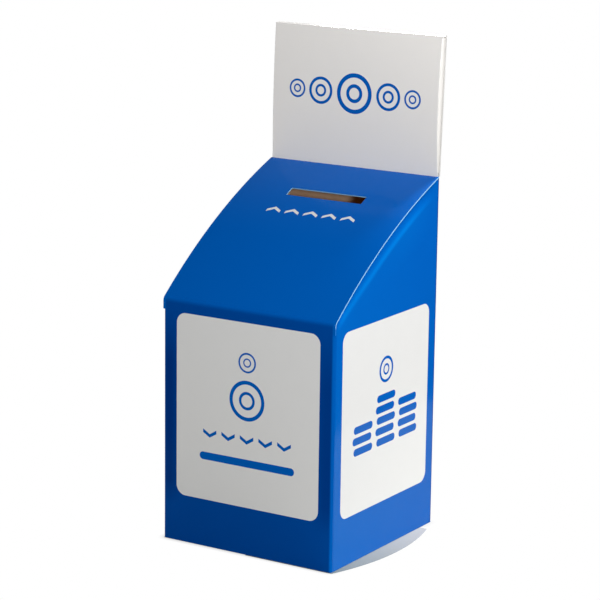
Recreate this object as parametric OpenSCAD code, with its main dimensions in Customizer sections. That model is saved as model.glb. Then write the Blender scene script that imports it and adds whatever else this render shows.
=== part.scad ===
// Counter-top collection box folded from printed, laminated carton board.
// Four walls stand on a tucked base. One sheet runs up the front, bends softly
// into a crowned lid with a coin slot, and folds up again as the face of a
// display header. The back wall runs up behind it as the header's backing.
// Frame: origin at the middle of the base, +Z up, the front faces -Y.
// Side views are drawn as [y, z] and extruded along X.

/* [Box] */
// Outside width of the box, side wall to side wall
box_w = 150; // [120:1:190]
// Outside depth of the box, front wall to back wall
box_d = 150; // [120:1:190]
// Height of the crease line between the front wall and the lid
front_h = 187.5; // [140:0.5:240]
// Height of the lid's back crease above its front crease
lid_rise = 86.5; // [60:0.5:110]
// Thickness of the board
board_t = 1; // [0.6:0.1:1.2]
// Outside radius of the upright creases
corner_r = 2; // [1.5:0.1:4]

/* [Lid] */
// How far the lid stands past each side wall
lid_overhang = 0.6; // [0.4:0.1:2]
// Height of the lid's crown above a straight line between its creases
lid_crown = 7.5; // [4:0.5:12]
// Outside radius of the soft bend from the front wall into the lid
bend_r = 5; // [3:0.5:8]
// How far the lid's full width runs down the front below the bend
lip_drop = 6; // [3:0.5:10]
// Distance from the back of the box to the lid's back crease
header_setback = 3; // [2.6:0.1:5]

/* [Coin slot] */
// Length of the slot across the lid
slot_l = 67; // [40:1:90]
// Width of the slot along the lid
slot_w = 9.5; // [6:0.5:14]
// Distance along the lid from its back crease to the middle of the slot
slot_back = 43; // [20:1:60]

/* [Lid flaps] */
// Width of the flap that turns in under the lid
flap_reach = 18; // [10:1:30]
// Radius of the side wall's bulge below the lid
bulge_r = 40; // [25:1:60]
// Angle through which the side wall bulges in before it folds
bulge_turn = 15; // [8:1:20]
// Outside radius of the fold at the top of the bulge
fold_r = 1.8; // [1.5:0.1:3]

/* [Header] */
// Height of the header above the lid's back crease
header_h = 106.5; // [70:0.5:150]
// How far the header's face stays in from each side of the box
header_inset = 0.5; // [0.2:0.1:4]
// How far the header's face bows forward at mid height
header_bow = 2.6; // [1:0.1:4]
// Backward lean of the header's face
face_lean = 1.6; // [1:0.1:3]
// Backward lean of the header's backing
backing_lean = 2.9; // [2.9:0.1:5]
// Distance from a return flap's end to the header's bottom or top
return_inset = 4; // [3:0.5:8]
// Depth of the flap that tucks down behind the header's face
tuck_depth = 18; // [10:1:30]
// Distance from the side of the header to the tuck flap
tuck_inset = 5; // [3:0.5:12]

/* [Base] */
// Reach of each dust flap from its side wall
dust_reach = 58; // [40:1:59]
// Height of the tab that tucks up inside the front wall
tab_h = 20; // [14:1:24]
// Inward lean of the tuck tab
tab_lean = 10; // [10:1:14]
// How far the tuck tab stays in from each end of its crease
tab_inset = 1.5; // [1:0.1:3]
// Radius of the rounded corners of the base flaps
flap_corner_r = 7; // [4:1:10]
// Length of the slit at each end of the tuck tab's crease
slit_l = 9; // [6:1:14]
// Width of that slit
slit_w = 0.8; // [0.5:0.1:1.5]

/* [Glue seam] */
// Width of the seam flap glued inside the back wall
seam_w = 16; // [10:1:25]
// Distance from the seam flap's ends to the floor and to the lid flap
seam_inset = 6; // [4:1:15]

/* [Fits] */
// Play between the base panel and the walls round it
slide_gap = 0.5; // [0.4:0.1:1]
// Gap between curved faces that move past each other
curve_gap = 0.3; // [0.3:0.05:0.5]
// Clearance round a dust flap at its crease
dust_gap = 3; // [2.5:0.5:5]

/* [Hidden] */
print_blue = "#0a5cb8";
print_white = "#e6e6e2";
board_brown = "#8a6c50";
big = 1000;

function toward(angle) = [cos(angle), sin(angle)];

// Inner faces of the walls
inner_x = box_w / 2 - board_t;
inner_y = box_d / 2 - board_t;
lid_w = box_w + 2 * lid_overhang;
header_w = box_w - 2 * header_inset;

// The lid's outer face is an arc through its two creases
lid_front = [-box_d / 2, front_h];
lid_back = [box_d / 2 - header_setback, front_h + lid_rise];
lid_chord = norm(lid_back - lid_front);
lid_r = (lid_chord * lid_chord / 4 + lid_crown * lid_crown) / (2 * lid_crown);
lid_along = (lid_back - lid_front) / lid_chord;
lid_c = (lid_front + lid_back) / 2 + (lid_r - lid_crown) * [lid_along.y, -lid_along.x];
lid_back_angle = atan2(lid_back.y - lid_c.y, lid_back.x - lid_c.x);

// The soft bend is tangent to the front wall and to the lid
bend_y = -box_d / 2 + bend_r;
bend_c = [bend_y, lid_c.y + sqrt(pow(lid_r - bend_r, 2) - pow(bend_y - lid_c.x, 2))];
lid_front_angle = atan2(bend_c.y - lid_c.y, bend_c.x - lid_c.x);
lip_z = bend_c.y - lip_drop;

// The slot's middle, as an angle round the lid's centre
slot_angle = lid_back_angle + slot_back / lid_r * 180 / PI;

// The lid flaps' top face, and the edge where the flat side wall ends
flap_top_r = lid_r - board_t - curve_gap;
flap_rise = (bulge_r - fold_r) * sin(bulge_turn) + fold_r;
wall_top_r = flap_top_r - flap_rise;
flap_ahead = 3;
// Overlap, in degrees, that joins neighbouring arcs of one sheet
join = 0.1;

// The header's face is an arc that bows forward
header_top = lid_back + header_h * toward(90 - face_lean);
header_r = (header_h * header_h / 4 + header_bow * header_bow) / (2 * header_bow);
header_half = asin(header_h / 2 / header_r);
header_mid = 180 - face_lean;
header_c = (lid_back + header_top) / 2 - (header_r - header_bow) * toward(header_mid);
face_foot = header_mid + header_half;
face_head = header_mid - header_half;

// The mitre between the lid and the header splits the angle of their fold
header_mitre = (lid_back_angle + face_foot) / 2 + 180;

// The mitre between the base panel and its tuck tab
tab_hinge = [-inner_y + slide_gap, 0];
tab_angle = 90 - tab_lean;

seam_top = lid_back.y - flap_rise - board_t - 2 * seam_inset;
tab_half = inner_x - slide_gap - tab_inset;

$fn = 64;
$arc = 720;

// Shapes in a side view

module across(width) {
    rotate([90, 0, 90]) linear_extrude(width, center = true) children();
}

module disc(centre, r) {
    translate(centre) circle(r, $fn = $arc);
}

module wedge(centre, from, to) {
    polygon([centre, centre + big * toward(from), centre + big * toward(to)]);
}

module arc_band(centre, r, from, to) {
    intersection() {
        difference() {
            disc(centre, r);
            disc(centre, r - board_t);
        }
        wedge(centre, from, to);
    }
}

// Everything on the left of a line that leaves a point at an angle
module left_of(point, angle) {
    translate(point) rotate(angle) translate([-big / 2, 0]) square([big, big / 2]);
}

// The hollow behind the front sheet, less a gap
module inside_outline(gap) {
    difference() {
        intersection() {
            translate([-inner_y, 0]) square([2 * inner_y, front_h + 2 * lid_rise]);
            disc(lid_c, lid_r - board_t - gap);
        }
        difference() {
            polygon([
                bend_c,
                bend_c + 2 * bend_r * toward(lid_front_angle),
                bend_c + 2 * bend_r * [-1, 1],
                bend_c + 2 * bend_r * toward(180),
            ]);
            disc(bend_c, bend_r - board_t - gap);
        }
    }
}

// In front of the backing's front face, less a gap
module before_backing(gap) {
    left_of([inner_y - gap, lid_back.y], 90 - backing_lean);
}

// Shapes in plan

module rounded_plate(width, depth, r) {
    square([width - 2 * r, depth], center = true);
    square([width, depth - 2 * r], center = true);
    for (x = [-1, 1], y = [-1, 1]) {
        translate([x * (width / 2 - r), y * (depth / 2 - r)]) circle(r);
    }
}

// Outward normal of one side of an outline that runs anticlockwise
function side_normal(from, to) =
    let (along = (to - from) / norm(to - from)) [along.y, -along.x];

// A convex outline with its own radius at each corner, 0 for a sharp one
module rounded_outline(points, radii) {
    count = len(points);
    corners = [
        for (i = [0:count - 1])
            let (
                before = side_normal(points[(i + count - 1) % count], points[i]),
                after = side_normal(points[i], points[(i + 1) % count])
            )
            [points[i] - radii[i] * (before + after) / (1 + before * after), before, after]
    ];
    polygon([
        for (i = [0:count - 1])
            each radii[i] == 0
                ? [points[i]]
                : [corners[i][0] + radii[i] * corners[i][1], corners[i][0] + radii[i] * corners[i][2]]
    ]);
    for (i = [0:count - 1]) {
        if (radii[i] > 0) translate(corners[i][0]) circle(radii[i]);
    }
}

module wall_ring() {
    difference() {
        rounded_plate(box_w, box_d, corner_r);
        rounded_plate(2 * inner_x, 2 * inner_y, corner_r - board_t);
    }
}

// The stretch of the ring that belongs to one wall, split at mid crease
module ring_side(turn, half_length, half_across) {
    reach = 2 * corner_r;
    intersection() {
        wall_ring();
        rotate(turn) polygon([
            [-half_length, -half_across],
            [half_length, -half_across],
            [half_length - reach, -half_across + reach],
            [-half_length + reach, -half_across + reach],
        ]);
    }
}

module front_ring() {
    ring_side(0, box_w / 2, box_d / 2);
}

module right_ring() {
    ring_side(90, box_d / 2, box_w / 2);
}

module back_ring() {
    ring_side(180, box_w / 2, box_d / 2);
}

// Walls

module front_wall() {
    color(print_blue) {
        linear_extrude(lip_z) front_ring();
        across(lid_w) {
            translate([-box_d / 2, lip_z]) square([board_t, lip_drop]);
            arc_band(bend_c, bend_r, lid_front_angle, 180 + join);
        }
    }
}

module right_wall() {
    color(print_blue) difference() {
        intersection() {
            linear_extrude(big) right_ring();
            across(2 * box_w) {
                intersection() {
                    translate([-box_d / 2, 0]) square([box_d, lid_back.y]);
                    disc(lid_c, wall_top_r);
                }
                translate([inner_y, 0]) square([board_t, lid_back.y]);
            }
        }
        translate([0, -box_d / 2, lip_z + big / 2])
            cube([2 * box_w, 2 * board_t, big], center = true);
    }
}

module left_wall() {
    mirror([1, 0, 0]) right_wall();
}

module back_wall() {
    color(print_blue) difference() {
        linear_extrude(lid_back.y) back_ring();
        across(2 * inner_x) {
            polygon([
                [box_d / 2, 0],
                [inner_y - board_t, 2 * board_t],
                [inner_y - board_t, -board_t],
                [box_d / 2, -board_t],
            ]);
        }
    }
}

module glue_seam_flap() {
    bevel = seam_w / 3;
    root = -inner_x + corner_r - board_t;
    color(board_brown) translate([0, inner_y, 0]) rotate([90, 0, 0])
        linear_extrude(board_t) rounded_outline(
            [
                [root, seam_inset],
                [root + seam_w, seam_inset + bevel],
                [root + seam_w, seam_top - bevel],
                [root, seam_top],
            ],
            [0, bevel, bevel, 0]
        );
}

// Lid

module coin_slot() {
    translate([0, lid_c.x, lid_c.y]) rotate([slot_angle, 0, 0])
        translate([0, lid_r, 0]) cube([slot_l, bend_r, slot_w], center = true);
}

module lid_panel() {
    color(print_blue) difference() {
        across(lid_w) difference() {
            arc_band(lid_c, lid_r, lid_back_angle - 1, lid_front_angle);
            left_of(lid_back, header_mitre);
        }
        coin_slot();
    }
}

// Section of a lid flap, drawn as [distance from the lid's centre, x]
module flap_section() {
    bulge_c = [wall_top_r, box_w / 2 - bulge_r];
    fold_from = 90 - bulge_turn;
    fold_c = bulge_c + (bulge_r - fold_r) * toward(fold_from);
    arc_band(bulge_c, bulge_r, fold_from - join, 90);
    arc_band(fold_c, fold_r, -join, fold_from);
    translate([flap_top_r - board_t, fold_c.y - flap_reach]) square([board_t, flap_reach]);
}

module right_lid_flap() {
    sweep = lid_front_angle - lid_back_angle + 2 * flap_ahead;
    color(print_blue) difference() {
        intersection() {
            translate([0, lid_c.x, lid_c.y]) rotate([90, 0, 90])
                rotate([0, 0, lid_back_angle - flap_ahead])
                    rotate_extrude(angle = sweep, $fn = $arc) flap_section();
            across(2 * box_w) inside_outline(curve_gap / 2);
        }
        linear_extrude(big) {
            front_ring();
            back_ring();
        }
    }
}

module left_lid_flap() {
    mirror([1, 0, 0]) right_lid_flap();
}

// Header

module header_front() {
    color(print_white) across(header_w) intersection() {
        arc_band(header_c, header_r, face_head, face_foot + 1);
        left_of(lid_back, header_mitre);
    }
}

module header_right_return() {
    low = lid_back.y + return_inset;
    high = header_top.y - return_inset;
    color(print_white) translate([header_w / 2 - board_t / 2, 0, 0]) across(board_t)
        intersection() {
            disc(header_c, header_r - board_t);
            before_backing(curve_gap);
            translate([-big / 2, low]) square([big, high - low]);
        }
}

module header_left_return() {
    mirror([1, 0, 0]) header_right_return();
}

module header_spine() {
    color(print_white) across(header_w) intersection() {
        disc(header_c, header_r - board_t);
        before_backing(curve_gap);
        translate([lid_back.x, header_top.y - board_t]) square([big, board_t]);
    }
}

module header_tuck_flap() {
    color(print_white) across(header_w - 2 * tuck_inset) intersection() {
        difference() {
            before_backing(curve_gap);
            before_backing(curve_gap + board_t);
        }
        translate([0, header_top.y - board_t - tuck_depth]) square([big, tuck_depth]);
    }
}

module header_back() {
    lean_out = (header_top.y - lid_back.y) * tan(backing_lean);
    color(print_white) across(box_w) polygon([
        [inner_y, lid_back.y],
        [box_d / 2, lid_back.y],
        [box_d / 2 + lean_out, header_top.y],
        [inner_y + lean_out, header_top.y],
    ]);
}

// Base

module base_panel() {
    half = inner_x - slide_gap;
    color(board_brown) difference() {
        across(2 * half) polygon([
            tab_hinge,
            [box_d / 2, 0],
            [inner_y, board_t],
            tab_hinge + board_t * [1 / tan(tab_angle / 2), 1],
        ]);
        for (side = [-1, 1]) {
            translate([side * half, tab_hinge.x, 0])
                cube([2 * slit_l, 2 * slit_w + 2 * board_t, 4 * board_t], center = true);
        }
    }
}

module base_tuck_tab() {
    color(board_brown) intersection() {
        translate([0, tab_hinge.x, 0]) rotate([tab_angle, 0, 0]) translate([0, 0, -board_t])
            linear_extrude(board_t) rounded_outline(
                [[-tab_half, 0], [tab_half, 0], [tab_half, tab_h], [-tab_half, tab_h]],
                [0, 0, flap_corner_r, flap_corner_r]
            );
        across(2 * box_w) left_of(tab_hinge, tab_angle / 2);
    }
}

// The front edge tapers back so that the flap folds up clear of the leaning tuck tab
module right_dust_flap() {
    root_half = inner_y - dust_gap;
    taper = dust_reach * tan(tab_lean);
    color(board_brown) translate([inner_x, 0, board_t]) linear_extrude(board_t)
        rounded_outline(
            [[0, -root_half], [0, root_half], [-dust_reach, root_half], [-dust_reach, -root_half + taper]],
            [0, 0, flap_corner_r, flap_corner_r]
        );
}

module left_dust_flap() {
    mirror([1, 0, 0]) right_dust_flap();
}

front_wall();
right_wall();
back_wall();
left_wall();
glue_seam_flap();
lid_panel();
right_lid_flap();
left_lid_flap();
header_front();
header_right_return();
header_left_return();
header_spine();
header_tuck_flap();
header_back();
base_panel();
base_tuck_tab();
right_dust_flap();
left_dust_flap();
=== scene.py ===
import math

import bpy
import numpy as np
from mathutils import Matrix, Vector


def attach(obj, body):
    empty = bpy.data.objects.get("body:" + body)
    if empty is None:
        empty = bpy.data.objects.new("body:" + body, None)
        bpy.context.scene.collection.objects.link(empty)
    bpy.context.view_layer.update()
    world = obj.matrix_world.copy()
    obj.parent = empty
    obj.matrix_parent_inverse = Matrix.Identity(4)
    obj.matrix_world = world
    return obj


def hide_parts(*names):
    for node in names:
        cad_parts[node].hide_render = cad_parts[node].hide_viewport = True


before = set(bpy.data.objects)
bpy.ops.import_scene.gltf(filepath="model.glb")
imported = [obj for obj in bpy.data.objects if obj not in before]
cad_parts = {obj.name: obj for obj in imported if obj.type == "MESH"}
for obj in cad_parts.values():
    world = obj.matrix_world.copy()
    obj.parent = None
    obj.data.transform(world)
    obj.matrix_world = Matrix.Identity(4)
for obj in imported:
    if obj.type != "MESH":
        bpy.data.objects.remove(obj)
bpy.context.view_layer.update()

mm = 0.001

board = {
    "thickness": 1.0 * mm,
    "edgeRound": 0.08 * mm,
    "edgeSegments": 2,
    "sharpAngle": 21,  # degrees; folds turn by less than this from face to face
    "edgeAngle": 50,  # degrees; edges that turn by more are rounded
}
softEdge = 0.1 * mm  # half the width over which a printed edge fades
strip = 0.6 * mm  # narrow row of faces beside each edge of a sheet

# Sizes that several panels share
carton = {
    "halfWidth": 75.0 * mm,
    "cornerRadius": 2.0 * mm,
    "cornerSteps": 12,
    "cornerLap": 1.0 * mm,  # flat strip beyond a corner, where the next panel takes over
    "lidFoot": (-73.23086 * mm, 189.00511 * mm),  # y, z
    "lidHead": (72.0 * mm, 274.0 * mm),
    "lidCentre": (242.4913 * mm, -183.8944 * mm),
    "lidRadius": 488.604 * mm,
    "backCrease": 274.0 * mm,
    "headerTop": 380.4585 * mm,
    "backingLean": math.tan(math.radians(2.9)),
}


# Node helpers

def plug(tree, socket, value):
    if isinstance(value, bpy.types.NodeSocket):
        tree.links.new(value, socket)
    else:
        socket.default_value = value


def newObject(name, data):
    obj = bpy.data.objects.new(name, data)
    bpy.context.scene.collection.objects.link(obj)
    return obj


def openInput(node, key):
    if isinstance(key, int):
        return node.inputs[key]
    return next(s for s in node.inputs if s.name == key and s.enabled)


def put(tree, kind, sockets=None, **settings):
    node = tree.nodes.new(kind)
    for key, value in settings.items():
        setattr(node, key, value)
    for key, value in (sockets or {}).items():
        plug(tree, openInput(node, key), value)
    return node


def made(tree, kind, sockets=None, **settings):
    return put(tree, kind, sockets, **settings).outputs[0]


def calc(tree, operation, *values):
    return made(tree, "ShaderNodeMath", dict(enumerate(values)), operation=operation)


def total(tree, first, *others):
    for value in others:
        first = calc(tree, "ADD", first, value)
    return first


def product(tree, first, *others):
    for value in others:
        first = calc(tree, "MULTIPLY", first, value)
    return first


def minus(tree, first, second):
    return calc(tree, "SUBTRACT", first, second)


def vec(tree, operation, *values):
    node = put(tree, "ShaderNodeVectorMath", dict(enumerate(values)), operation=operation)
    return node.outputs["Value" if operation in ("LENGTH", "DOT_PRODUCT") else "Vector"]


def scaled(tree, vector, factor):
    sockets = {0: vector, "Scale": factor}
    return made(tree, "ShaderNodeVectorMath", sockets, operation="SCALE")


def ramp(tree, value, low, high, fromValue=0.0, toValue=1.0, shape="LINEAR"):
    sockets = {"Value": value, "From Min": low, "From Max": high, "To Min": fromValue, "To Max": toValue}
    return made(tree, "ShaderNodeMapRange", sockets, interpolation_type=shape, clamp=True)


def softMask(tree, distance):
    return ramp(tree, distance, -softEdge, softEdge, 1.0, 0.0, "SMOOTHSTEP")


def split(tree, vector):
    return put(tree, "ShaderNodeSeparateXYZ", {0: vector}).outputs


def joined(tree, x, y, z):
    return made(tree, "ShaderNodeCombineXYZ", {0: x, 1: y, 2: z})


def makeTree(name, kind, inputs, outputs):
    # An input is given by its default value, or by its kind where it has none
    tree = bpy.data.node_groups.new(name, kind)
    for label, value in inputs.items():
        named = isinstance(value, str)
        socketType = value if named else {float: "Float", int: "Int"}[type(value)]
        socket = tree.interface.new_socket(label, in_out="INPUT", socket_type="NodeSocket" + socketType)
        if not named:
            socket.default_value = value
    for label, socketType in outputs.items():
        tree.interface.new_socket(label, in_out="OUTPUT", socket_type="NodeSocket" + socketType)
    given = tree.nodes.new("NodeGroupInput")
    result = tree.nodes.new("NodeGroupOutput")
    return tree, given.outputs, result.inputs


def addNodes(obj, tree, values):
    modifier = obj.modifiers.new(tree.name, "NODES")
    modifier.node_group = tree
    for item in tree.interface.items_tree:
        if item.in_out == "INPUT" and item.name in values:
            modifier[item.identifier] = values[item.name]
    return modifier


# Shader groups

def roundedPanelGroup():
    tree, given, result = makeTree("roundedPanel", "ShaderNodeTree", {
        "Place": "Vector", "Centre": "Vector", "Half Size": "Vector", "Radius": 0.008,
    }, {"Mask": "Float", "Distance": "Float"})
    offset = vec(tree, "ABSOLUTE", vec(tree, "SUBTRACT", given["Place"], given["Centre"]))
    shrunk = split(tree, vec(tree, "SUBTRACT", offset, given["Half Size"]))
    beyond = [total(tree, shrunk[axis], given["Radius"]) for axis in (0, 1)]
    clipped = [calc(tree, "MAXIMUM", value, 0.0) for value in beyond]
    outside = vec(tree, "LENGTH", joined(tree, *clipped, 0.0))
    inside = calc(tree, "MINIMUM", calc(tree, "MAXIMUM", *beyond), 0.0)
    distance = minus(tree, total(tree, outside, inside), given["Radius"])
    plug(tree, result["Mask"], softMask(tree, distance))
    plug(tree, result["Distance"], distance)
    return tree


def coinRingGroup():
    tree, given, result = makeTree("coinRing", "ShaderNodeTree", {
        "Place": "Vector", "Centre": "Vector", "Radius": 0.01, "Line": 0.002,
    }, {"Mask": "Float"})
    away = split(tree, vec(tree, "SUBTRACT", given["Place"], given["Centre"]))
    flat = vec(tree, "LENGTH", joined(tree, away[0], away[1], 0.0))
    fromRing = calc(tree, "ABSOLUTE", minus(tree, flat, given["Radius"]))
    distance = minus(tree, fromRing, product(tree, given["Line"], 0.5))
    plug(tree, result["Mask"], softMask(tree, distance))
    return tree


def chevronGroup():
    tree, given, result = makeTree("chevron", "ShaderNodeTree", {
        "Place": "Vector", "Centre": "Vector", "Reach": 0.01, "Fall": 0.6, "Line": 0.002,
    }, {"Mask": "Float"})
    away = split(tree, vec(tree, "SUBTRACT", given["Place"], given["Centre"]))
    across = calc(tree, "ABSOLUTE", away[0])
    height = total(tree, away[1], product(tree, across, given["Fall"]))
    fromLine = minus(tree, calc(tree, "ABSOLUTE", height), product(tree, given["Line"], 0.5))
    distance = calc(tree, "MAXIMUM", fromLine, minus(tree, across, given["Reach"]))
    plug(tree, result["Mask"], softMask(tree, distance))
    return tree


def noise(tree, vector, scale, detail=3.0, roughness=0.5):
    sockets = {"Vector": vector, "Scale": scale, "Detail": detail, "Roughness": roughness}
    return made(tree, "ShaderNodeTexNoise", sockets, noise_dimensions="3D")


# Gloss film over print: slow waves, fine orange peel and handling marks
film = {
    "roughness": 0.11, "unevenness": 0.04, "waveHeight": 0.06 * mm, "waveScale": 22.0,
    "peelScale": 620.0, "peelShare": 0.06, "handledScale": 60.0, "rubStretch": (900.0, 60.0, 60.0),
    "markShare": 1.6,  # of the unevenness
    "fibreThrough": 0.05,  # contrast of the board's fibres under the print
    "blueTint": (0.0, 0.6, 1.0, 1.0), "blueIor": 1.21, "whiteIor": 1.45,
}


def filmGroup():
    tree, given, result = makeTree(
        "laminateFilm", "ShaderNodeTree", {"Vector": "Vector"}, {"Roughness": "Float", "Height": "Float"})
    waves = noise(tree, given["Vector"], film["waveScale"], 2.0)
    peel = noise(tree, given["Vector"], film["peelScale"], 2.0)
    handled = noise(tree, given["Vector"], film["handledScale"], 5.0, 0.65)
    rubs = noise(tree, vec(tree, "MULTIPLY", given["Vector"], film["rubStretch"]), 1.0, 2.0)
    marks = product(tree, ramp(tree, handled, 0.5, 0.75), ramp(tree, rubs, 0.55, 0.75, 0.2, 1.0))
    varied = product(tree, minus(tree, waves, 0.5), film["unevenness"])
    marked = product(tree, marks, film["unevenness"] * film["markShare"])
    plug(tree, result["Roughness"], total(tree, varied, marked, film["roughness"]))
    plug(tree, result["Height"], total(tree, waves, product(tree, peel, film["peelShare"])))
    return tree


# Recycled board: fibres that lie along the sheet, cloudy shade and dark specks
grain = {
    "fibreStretch": (1500.0, 260.0, 1500.0), "fibreShare": 0.6, "cloudScale": 90.0, "cloudShare": 0.4,
    "speckScale": 1400.0, "speckDepth": 0.35, "roughSpread": 0.06, "specular": 0.25,
}


def fibreGroup():
    tree, given, result = makeTree("boardFibre", "ShaderNodeTree", {
        "Vector": "Vector", "Contrast": 1.0,
    }, {"Shade": "Float", "Height": "Float"})
    fibres = noise(tree, vec(tree, "MULTIPLY", given["Vector"], grain["fibreStretch"]), 1.0, 4.0, 0.7)
    clouds = noise(tree, given["Vector"], grain["cloudScale"], 3.0)
    specks = noise(tree, given["Vector"], grain["speckScale"], 1.0)
    clouds = product(tree, clouds, grain["cloudShare"])
    cloudy = total(tree, product(tree, fibres, grain["fibreShare"]), clouds)
    centred = product(tree, minus(tree, cloudy, 0.5), given["Contrast"])
    dark = product(tree, ramp(tree, specks, 0.68, 0.76, 0.0, grain["speckDepth"]), given["Contrast"])
    plug(tree, result["Shade"], minus(tree, total(tree, centred, 1.0), dark))
    plug(tree, result["Height"], fibres)
    return tree


def creaseWearGroup():
    # Print that has cracked or rubbed thin close to a fold or a cut edge
    tree, given, result = makeTree("creaseWear", "ShaderNodeTree", {
        "Vector": "Vector", "Distance": 0.0, "Reach": 0.0004, "Amount": 0.35,
    }, {"Mask": "Float"})
    near = ramp(tree, calc(tree, "ABSOLUTE", given["Distance"]), 0.0, given["Reach"], 1.0, 0.0)
    patchy = ramp(tree, noise(tree, given["Vector"], 240.0, 4.0, 0.7), 0.46, 0.7)
    plug(tree, result["Mask"], product(tree, near, patchy, given["Amount"]))
    return tree


shaderGroups = {
    "panel": roundedPanelGroup(), "ring": coinRingGroup(), "chevron": chevronGroup(),
    "film": filmGroup(), "fibre": fibreGroup(), "wear": creaseWearGroup(),
}
print("shader groups made")


# Materials

ink = {
    "blue": (0.0, 0.118, 0.53, 1.0),
    # painted shade: a darker copy of the blue that colours the front wall
    "shadedBlue": (0.0, 0.068, 0.36, 1.0),
    "shadeNavy": (0.0, 0.032, 0.22, 1.0),  # painted shade: a darker blue beside the panel on the front
    # painted highlight: lighter blue for the band along the side's bulge; it also colours the lip's cut
    # edges below lipEnd
    "stretchedBlue": (0.0, 0.2, 0.70, 1.0),
    "white": (0.845, 0.845, 0.835, 1.0),
    # the header sheet's white, partly painted light: set lighter and warmer than the panel white, so the
    # header reads brighter and shows no blue cast from the lid
    "headerWhite": (0.955, 0.93, 0.895, 1.0),
    "thinned": (0.55, 0.66, 0.82, 1.0),  # blue print rubbed thin
    "inside": (0.48, 0.32, 0.21, 1.0),
    "through": (0.011, 0.003, 0.0001, 1.0),  # painted light: a faint glow of the bare board that lightens the box's inside, seen through the slot
    "cut": (0.84, 0.83, 0.81, 1.0),
    "cutBlue": (0.34, 0.66, 0.95, 1.0),  # cut edge with blue print bled into it
    "coated": (0.66, 0.65, 0.62, 1.0),
}

# Where the painted shade on the front's print changes: across the sheet, or up it
frontShadeStops = {
    "bend": (184.0 * mm, 189.5 * mm), "turn": (72.4 * mm, 74.2 * mm), "beside": (58.0 * mm, 68.0 * mm),
    "across": (-70.0 * mm, 70.0 * mm), "acrossShare": (0.9, 0.55),
    "foot": (28.0 * mm, 48.0 * mm), "head": (179.0 * mm, 140.0 * mm),
}
lipEnd = (183.5 * mm, 185.5 * mm)  # cut edges are blue below this, pale blue above

# Middle and half size of the outline that is worn, as far as it lies on the sheet
wallWear = (0.0, 0.2, 0.2, 0.2)  # the foot
lidWear = (0.0, 0.2, 0.0756, 0.4)  # both sides
headerWear = (0.0, 0.053, 0.0745, 0.0535)


def groupNode(tree, name, sockets):
    node = tree.nodes.new("ShaderNodeGroup")
    node.node_tree = shaderGroups[name]
    for key, value in sockets.items():
        plug(tree, node.inputs[key], value)
    return node


def mixColour(tree, factor, first, second, blend="MIX"):
    node = tree.nodes.new("ShaderNodeMix")
    node.data_type, node.blend_type = "RGBA", blend
    plug(tree, node.inputs["Factor"], factor)
    colours = [s for s in node.inputs if s.type == "RGBA"]
    plug(tree, colours[0], first)
    plug(tree, colours[1], second)
    return next(s for s in node.outputs if s.type == "RGBA")


def startMaterial(name):
    material = bpy.data.materials.new(name)
    material.use_nodes = True
    tree = material.node_tree
    shader = next(n for n in tree.nodes if n.type == "BSDF_PRINCIPLED")
    sheet = made(tree, "ShaderNodeUVMap", uv_map="UVMap")
    solid = tree.nodes.new("ShaderNodeTexCoord").outputs["Object"]
    return material, tree, shader, sheet, solid


def addBump(tree, shader, height, distance):
    bump = made(tree, "ShaderNodeBump", {"Height": height, "Distance": distance, "Strength": 1.0})
    plug(tree, shader.inputs["Normal"], bump)


def paintFrontShade(tree, sheet, base):
    # Painted shade: the shaded blue, darker still beside the panel, fading back to the plain blue over the
    # bend and round the upright folds
    across, height = split(tree, sheet)[:2]
    aside = calc(tree, "ABSOLUTE", across)
    over = ramp(tree, height, *frontShadeStops["bend"], shape="SMOOTHSTEP")
    turned = ramp(tree, aside, *frontShadeStops["turn"], shape="SMOOTHSTEP")
    strength = ramp(tree, across, *frontShadeStops["across"], *frontShadeStops["acrossShare"])
    dark = product(
        tree, strength, ramp(tree, aside, *frontShadeStops["beside"]),
        ramp(tree, height, *frontShadeStops["foot"]), ramp(tree, height, *frontShadeStops["head"]))
    colour = mixColour(tree, dark, base, ink["shadeNavy"])
    return mixColour(tree, calc(tree, "MAXIMUM", over, turned), colour, ink["blue"])


def printMaterial(name, base, marks=(), worn=wallWear, tint=film["blueTint"], change=None):
    material, tree, shader, sheet, solid = startMaterial(name)
    colour = base
    if change == "paintedShade":
        colour = paintFrontShade(tree, sheet, base)
    if change == "stretched":
        # painted highlight: the side print turns lighter blue by its highlight share
        stretch = put(tree, "ShaderNodeAttribute", attribute_name="stretch").outputs["Fac"]
        colour = mixColour(tree, stretch, base, ink["stretchedBlue"])
    for inkName, kind, sockets in marks:
        mask = groupNode(tree, kind, {**sockets, "Place": sheet}).outputs["Mask"]
        colour = mixColour(tree, mask, colour, ink[inkName])
    fibre = groupNode(tree, "fibre", {"Vector": solid, "Contrast": film["fibreThrough"]})
    colour = mixColour(tree, 1.0, colour, fibre.outputs["Shade"], "MULTIPLY")
    edge = groupNode(tree, "panel", {
        "Place": sheet, "Centre": (*worn[:2], 0.0), "Half Size": (*worn[2:], 0.0), "Radius": 0.0})
    wear = groupNode(tree, "wear", {"Vector": solid, "Distance": edge.outputs["Distance"]})
    plug(tree, shader.inputs["Base Color"], mixColour(tree, wear.outputs["Mask"], colour, ink["thinned"]))
    gloss = groupNode(tree, "film", {"Vector": solid})
    plug(tree, shader.inputs["Roughness"], gloss.outputs["Roughness"])
    shader.inputs["IOR"].default_value = film["blueIor" if tint else "whiteIor"]
    if tint:
        shader.inputs["Specular Tint"].default_value = tint
    addBump(tree, shader, gloss.outputs["Height"], film["waveHeight"])
    return material


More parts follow.
